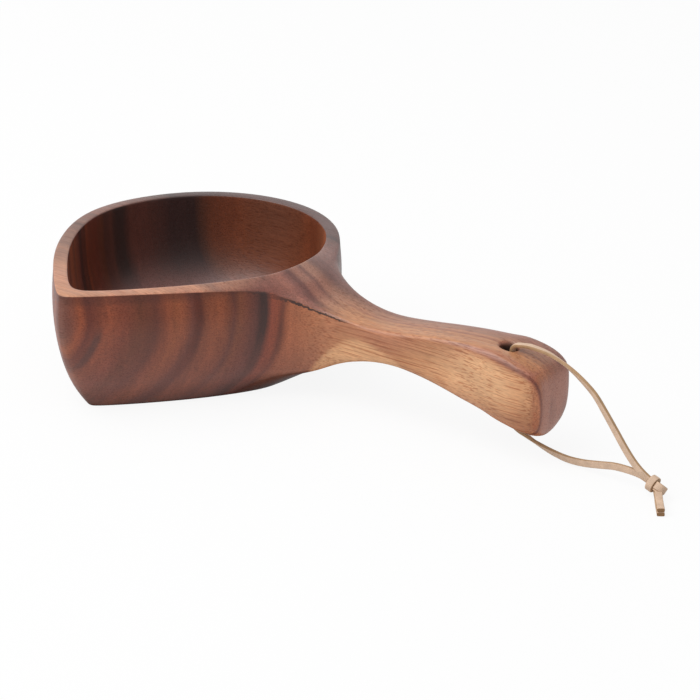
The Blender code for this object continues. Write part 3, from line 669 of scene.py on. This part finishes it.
def strand_route(rows, lift, tail_share):
    """Places along one strand, from the middle of the hole to its cut end, and the way across it."""
    places = []
    for reach, height, shift, twist in rows:
        spot = hole_foot + away * (STRIP_IN_HOLE + reach * MM)
        spot += upward * (height * MM) + sideways * (shift * MM)
        places.append(Vector((*spot, twist)))
    tail_foot = hole_foot + away * TAIL_REACH + sideways * TAIL_SHIFT
    rest = TABLE_CLEARANCE + LACE_THICKNESS / 2 + lift
    for along, rise in TAIL_ROUTE:
        spot = tail_foot + tail_way * (along * MM * tail_share) + upward * (rest + rise * MM)
        places.append(Vector((*spot, rows[-1][3])))
    route = smooth_route(places, LACE_STEP)
    spots = [row.xyz for row in route]
    across_tail = tail_way.cross(upward)
    sides = []
    for i, row in enumerate(route):
        ahead = (spots[min(i + 1, len(spots) - 1)] - spots[max(i - 1, 0)]).normalized()
        # The lower strand leaves the hole the other way, and keeps the same face outwards
        if rows is LOWER_ROUTE:
            ahead = -ahead
        level_way = -ahead.cross(sideways).normalized()
        twist_angle = math.radians(row[3])
        side = sideways * math.cos(twist_angle) + level_way * math.sin(twist_angle)
        into_tail = min(max((row.xyz - tail_foot).dot(tail_way) / TAIL_EASE, 0.0), 1.0)
        if into_tail > 0:
            flat = across_tail if sides[-1].dot(across_tail) >= 0 else -across_tail
            side = side.lerp(flat, into_tail)
        sides.append((side - ahead * side.dot(ahead)).normalized())
    return spots, sides


def path_length(spots):
    return sum((after - here).length for here, after in zip(spots, spots[1:]))


upper = strand_route(UPPER_ROUTE, LACE_THICKNESS + TABLE_CLEARANCE, UPPER_TAIL_SHARE)
lower = strand_route(LOWER_ROUTE, 0.0, LOWER_TAIL_SHARE)
print(f"strands: {path_length(upper[0]) / MM:.0f} and {path_length(lower[0]) / MM:.0f} mm")

# %% [markdown]
# The tree below does the sweep. Curve to Mesh carries the strip's section along the curve, and
# two values are stored on the mesh for the material: how far a face looks sideways out of the
# lace, as its cut edges do, and how far it looks along it, as its cut ends do.

# %% Lace tree
LACE_CORNER_STEPS = 4


def lace_tree():
    tree = bpy.data.node_groups.new("lace_sweep", "GeometryNodeTree")
    face = tree.interface
    face.new_socket("Geometry", in_out="INPUT", socket_type="NodeSocketGeometry")
    for name in ("Width", "Thickness", "Round"):
        face.new_socket(name, in_out="INPUT", socket_type="NodeSocketFloat")
    face.new_socket("Leather", in_out="INPUT", socket_type="NodeSocketMaterial")
    face.new_socket("Geometry", in_out="OUTPUT", socket_type="NodeSocketGeometry")
    given = node(tree, "NodeGroupInput").outputs
    curve = node(tree, "GeometryNodeMeshToCurve", {"Mesh": given["Geometry"]})
    side = node(tree, "GeometryNodeInputNamedAttribute", {"Name": "side"}, data_type="FLOAT_VECTOR")
    turned = node(tree, "GeometryNodeSetCurveNormal", {"Curve": curve, "Normal": side}, mode="FREE")
    tangent = node(tree, "GeometryNodeInputTangent")
    aimed = node(tree, "GeometryNodeStoreNamedAttribute", {
        "Geometry": turned, "Name": "ahead", "Value": tangent}, data_type="FLOAT_VECTOR", domain="POINT")
    section = node(tree, "GeometryNodeCurvePrimitiveQuadrilateral", {
        "Width": given["Width"], "Height": given["Thickness"]})
    rounded = node(tree, "GeometryNodeFilletCurve", {
        "Curve": section, "Radius": given["Round"], "Count": LACE_CORNER_STEPS, "Limit Radius": True},
        mode="POLY")
    swept = node(tree, "GeometryNodeCurveToMesh", {
        "Curve": aimed, "Profile Curve": rounded, "Fill Caps": True})
    painted = node(tree, "GeometryNodeSetShadeSmooth", {0: swept})
    normal = node(tree, "GeometryNodeInputNormal")
    ahead = node(tree, "GeometryNodeInputNamedAttribute", {"Name": "ahead"}, data_type="FLOAT_VECTOR")
    for name, way in (("cut_edge", side), ("cut_end", ahead)):
        facing = node(tree, "ShaderNodeVectorMath", {0: normal, 1: way}, operation="DOT_PRODUCT")
        share = node(tree, "ShaderNodeMath", {0: facing.outputs["Value"]}, operation="ABSOLUTE")
        painted = node(tree, "GeometryNodeStoreNamedAttribute", {
            "Geometry": painted, "Name": name, "Value": share}, data_type="FLOAT", domain="FACE")
    real = node(tree, "GeometryNodeRealizeInstances", {0: painted})
    dressed = node(tree, "GeometryNodeSetMaterial", {"Geometry": real, "Material": given["Leather"]})
    node(tree, "NodeGroupOutput", {0: dressed})
    return tree


sweep = lace_tree()
print("lace tree has", len(sweep.nodes), "nodes")

# %% [markdown]
# The tree works on a bare chain of points. The next function makes that chain, sets the
# modifier's inputs by their sockets' identifiers, and keeps the evaluated result as a plain
# mesh. The chain and its modifier are then removed.

# %% Lace sweep
def sweep_lace(name, spots, sides, material, tree, width=LACE_WIDTH, closed=False):
    chain = bpy.data.meshes.new(name + "_route")
    pairs = [(i, i + 1) for i in range(len(spots) - 1)]
    if closed:
        pairs.append((len(spots) - 1, 0))
    chain.from_pydata([tuple(spot) for spot in spots], pairs, [])
    across = chain.attributes.new("side", "FLOAT_VECTOR", "POINT")
    for item, side in zip(across.data, sides):
        item.vector = side
    maker = bpy.data.objects.new(name + "_route", chain)
    bpy.context.scene.collection.objects.link(maker)
    modifier = maker.modifiers.new("lace_sweep", "NODES")
    modifier.node_group = tree
    items = tree.interface.items_tree
    sockets = {item.name: item.identifier for item in items if item.in_out == "INPUT"}
    modifier[sockets["Width"]] = width
    modifier[sockets["Thickness"]] = LACE_THICKNESS
    modifier[sockets["Round"]] = LACE_ROUND
    modifier[sockets["Leather"]] = material
    bpy.context.view_layer.update()
    evaluated = maker.evaluated_get(bpy.context.evaluated_depsgraph_get())
    mesh = bpy.data.meshes.new_from_object(evaluated)
    mesh.name = name
    piece = bpy.data.objects.new(name, mesh)
    bpy.context.scene.collection.objects.link(piece)
    bpy.data.objects.remove(maker)
    return piece


print(f"lace section {LACE_WIDTH / MM:.1f} x {LACE_THICKNESS / MM:.1f} mm")

# %% [markdown]
# ## Natural leather
#
# The lace is undyed, vegetable-tanned cowhide: a smooth cream grain side, darker fibrous cut
# edges, and brown ends. It has no gloss to speak of. Fine mottling breaks up the colour, and a
# grain of half a millimetre, a little coarser than life so that it shows, gives a dry surface.

# %% Leather material
LACE_FACE = "#cbae95"
LACE_EDGE = "#a88663"
LACE_END = "#8a6642"
MOTTLE_SIZE = 2.5 * MM
MOTTLE_GAIN = (0.88, 1.1)
HIDE_GRAIN_SIZE = 0.5 * MM
HIDE_BUMP = 0.3
HIDE_DEPTH = 0.1 * MM
HIDE_ROUGHNESS = 0.62
HIDE_IOR = 1.45


def make_leather():
    # Undyed cowhide gives the eye a dry, matt cream face between darker cut edges
    material, tree = new_material("cowhide_vegetable_tanned")
    place = node(tree, "ShaderNodeTexCoord").outputs["Object"]
    measures = {}
    for name in ("cut_edge", "cut_end"):
        measures[name] = (node(tree, "ShaderNodeAttribute", attribute_name=name).outputs["Fac"], 1.0)
    mottle = node(tree, "ShaderNodeTexNoise", {"Vector": place, "Scale": 1 / MOTTLE_SIZE, "Detail": 4.0})
    grain = node(tree, "ShaderNodeTexNoise", {"Vector": place, "Scale": 1 / HIDE_GRAIN_SIZE, "Detail": 2.0})
    gain = node(tree, "ShaderNodeMapRange", {
        "Value": mottle, "From Min": NOISE_LOW, "From Max": NOISE_HIGH,
        "To Min": MOTTLE_GAIN[0], "To Max": MOTTLE_GAIN[1]})
    colour = lay(tree, measures, LACE_FACE, LACE_EDGE, 1.0, (("cut_edge", 0.5, 0.9),))
    colour = lay(tree, measures, colour, LACE_END, 1.0, (("cut_end", 0.6, 0.9),))
    colour = lay(tree, measures, colour, gain, blend="MULTIPLY")
    bump = node(tree, "ShaderNodeBump", {"Strength": HIDE_BUMP, "Distance": HIDE_DEPTH, "Height": grain})
    shader = node(tree, "ShaderNodeBsdfPrincipled", {
        "Base Color": colour, "Roughness": HIDE_ROUGHNESS, "IOR": HIDE_IOR, "Normal": bump})
    node(tree, "ShaderNodeOutputMaterial", {"Surface": shader})
    return material


leather = make_leather()
upper_strand = sweep_lace("lace_upper", *upper, leather, sweep)
lower_strand = sweep_lace("lace_lower", *lower, leather, sweep)
print("lace:", len(upper_strand.data.polygons) + len(lower_strand.data.polygons), "faces")

# %% [markdown]
# ## The knot
#
# An overhand knot in a flat lace shows two turns: a collar that wraps both strands, and a lobe
# where the lace comes out of the collar, folds over and goes back under it. The collar is swept
# as a closed turn. The lobe is a short folded strip: its rows say how far along the fold a point
# lies and how far it stands out towards the viewer.

# %% Knot turns
COLLAR_RADIUS = 2.6 * MM
COLLAR_SET_BACK = 0.9 * MM
COLLAR_DROP = 0.35 * MM
COLLAR_TIP = 0.15
COLLAR_POINTS = 40
LOBE_ROWS = ((0.1, 1.2), (0.7, 3.2), (2.0, 4.1), (3.3, 3.7), (4.1, 2.4), (3.9, 0.8), (2.8, -0.4))
LOBE_WIDTH = 3.2 * MM
LOBE_STEP = 0.4 * MM
LOBE_DOWN = math.radians(36.0)

entry = away * math.cos(KNOT_PITCH) + upward * math.sin(KNOT_PITCH)
standing = upward * math.cos(KNOT_PITCH) - away * math.sin(KNOT_PITCH)
knot_middle = hole_foot + away * KNOT_REACH + upward * KNOT_HEIGHT


def knot_turn(middle, axis, long_way):
    """A closed ring of places round an axis, with the way across the lace at each."""
    axis = axis.normalized()
    first = (long_way - axis * long_way.dot(axis)).normalized()
    second = axis.cross(first)
    spots = []
    for i in range(COLLAR_POINTS):
        angle = 2 * math.pi * i / COLLAR_POINTS
        spots.append(middle + first * (COLLAR_RADIUS * math.cos(angle))
                     + second * (COLLAR_RADIUS * math.sin(angle)))
    return spots, [axis] * COLLAR_POINTS


def knot_fold(middle):
    """Places along the folded lobe, with the way across the lace at each."""
    above = towards_camera.cross(to_the_right)
    fold_way = to_the_right * math.cos(LOBE_DOWN) - above * math.sin(LOBE_DOWN)
    across = to_the_right * math.sin(LOBE_DOWN) + above * math.cos(LOBE_DOWN)
    rows = [middle + fold_way * (along * MM) + towards_camera * (out * MM) for along, out in LOBE_ROWS]
    spots = [row.xyz for row in smooth_route([row.to_4d() for row in rows], LOBE_STEP)]
    return spots, [across] * len(spots)


collar_middle = knot_middle - entry * COLLAR_SET_BACK - standing * COLLAR_DROP
collar_turn = knot_turn(collar_middle, entry + standing * COLLAR_TIP, standing)
collar = sweep_lace("knot_collar", *collar_turn, leather, sweep, closed=True)
lobe = sweep_lace("knot_lobe", *knot_fold(knot_middle), leather, sweep, width=LOBE_WIDTH)
for piece in (upper_strand, lower_strand, collar, lobe):
    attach(piece, "thong")
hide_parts("leather_thong")
print("knot at", [round(v / MM) for v in knot_middle])

# %% [markdown]
# ## Floor and light
#
# The ladle stands on a plain white sweep. The floor and the world are white to the camera and to
# reflections, which Light Path tells apart from other rays, while the floor still takes the
# ladle's shadow. One large lamp stands at the upper left, and the world fills the rest.

# %% Floor and world
FLOOR_SIZE = 6.0
PAPER = "#e4e4e4"
WHITE = "#ffffff"
FLOOR_WHITE_SHARE = 0.9
FILL_STRENGTH = 0.6


def seen_directly(tree):
    """1 where the camera, a reflection or a view through glass meets the surface, and 0 elsewhere."""
    rays = node(tree, "ShaderNodeLightPath").outputs
    seen = rays["Is Camera Ray"]
    for name in ("Is Glossy Ray", "Is Transmission Ray"):
        seen = node(tree, "ShaderNodeMath", {0: seen, 1: rays[name]}, operation="MAXIMUM")
    return seen


def make_floor():
    # Matt paper gives the eye an even white, with only a soft shadow under the ladle
    mesh = bpy.data.meshes.new("white_floor")
    half = FLOOR_SIZE / 2
    corners = [(-half, -half, 0), (half, -half, 0), (half, half, 0), (-half, half, 0)]
    mesh.from_pydata(corners, [], [(0, 1, 2, 3)])
    material, tree = new_material("white_paper_sweep")
    lit = node(tree, "ShaderNodeBsdfDiffuse", {"Color": linear(PAPER)})
    white = node(tree, "ShaderNodeEmission", {"Color": linear(WHITE), "Strength": 1.0})
    seen = node(tree, "ShaderNodeMath", {0: seen_directly(tree), 1: FLOOR_WHITE_SHARE},
                operation="MULTIPLY")
    paper = node(tree, "ShaderNodeMixShader", {0: seen, 1: lit, 2: white})
    node(tree, "ShaderNodeOutputMaterial", {"Surface": paper})
    mesh.materials.append(material)
    floor = bpy.data.objects.new("white_floor", mesh)
    bpy.context.scene.collection.objects.link(floor)
    return floor


def make_world():
    world = bpy.data.worlds.new("white_studio")
    world.use_nodes = True
    tree = world.node_tree
    tree.nodes.clear()
    strength = node(tree, "ShaderNodeMapRange", {
        "Value": seen_directly(tree), "To Min": FILL_STRENGTH, "To Max": 1.0})
    sky = node(tree, "ShaderNodeBackground", {"Color": linear(WHITE), "Strength": strength})
    node(tree, "ShaderNodeOutputWorld", {"Surface": sky})
    bpy.context.scene.world = world


make_floor()
make_world()
print(f"floor of {FLOOR_SIZE:.0f} m, world at {FILL_STRENGTH}")

# %% [markdown]
# The lamp is a square soft box, larger than the ladle and about a metre and a half away, so its
# highlights are broad and its shadows soft. The Standard view transform leaves the colours as
# they are written.

# %% Lamp
KEY_PLACE = (-0.55, -0.6, 1.25)
KEY_TARGET = (0.05, 0, 0.03)
KEY_SIZE = 1.5
KEY_WATTS = 22


def soft_lamp(name, place, target, size, watts):
    lamp = bpy.data.lights.new(name, "AREA")
    lamp.shape = "SQUARE"
    lamp.size = size
    lamp.energy = watts
    holder = bpy.data.objects.new(name, lamp)
    holder.location = place
    holder.rotation_euler = (Vector(target) - Vector(place)).to_track_quat("-Z", "Y").to_euler()
    bpy.context.scene.collection.objects.link(holder)


soft_lamp("key_upper_left", KEY_PLACE, KEY_TARGET, KEY_SIZE, KEY_WATTS)
bpy.context.scene.view_settings.view_transform = "Standard"
print(f"key lamp of {KEY_WATTS} W, {KEY_SIZE} m wide")
